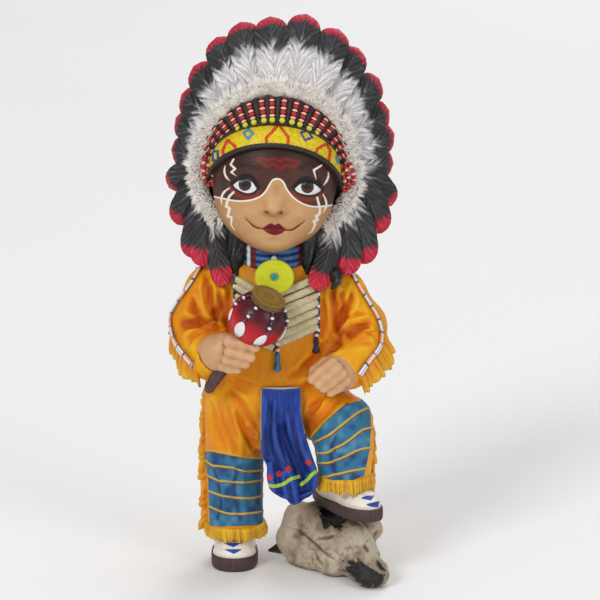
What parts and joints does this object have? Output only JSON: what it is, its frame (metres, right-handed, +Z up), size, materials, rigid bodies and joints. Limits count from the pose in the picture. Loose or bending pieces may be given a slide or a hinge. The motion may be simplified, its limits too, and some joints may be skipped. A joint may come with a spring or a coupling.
{
  "type": "chief figurine",
  "caption": "Painted cast resin doll-like chief in a tall feather bonnet, holding a rattle, with a foot raised on a bull skull.",
  "frame": {"origin": "middle of the outline seen from above, on the surface that the figurine stands on", "axes": "+Z up, the figure faces -Y, and +X is on the right when it is seen from the front"},
  "size_m": [0.0834, 0.0604, 0.2007],
  "materials": {
    "painted_resin": "satin",
    "shirt_paint": "satin",
    "skin_paint": "satin",
    "hair_paint": "satin",
    "feather_paint": "satin",
    "down_paint": "matte",
    "leather_paint": "satin",
    "bead_paint": "satin",
    "bone_paint": "matte",
    "blue_paint": "satin",
    "moccasin_paint": "satin",
    "sole_paint": "satin",
    "gourd_paint": "gloss",
    "disc_paint": "satin"
  },
  "bodies": {
    "root": {"figurine": "painted_resin"}
  },
  "joints": []
}
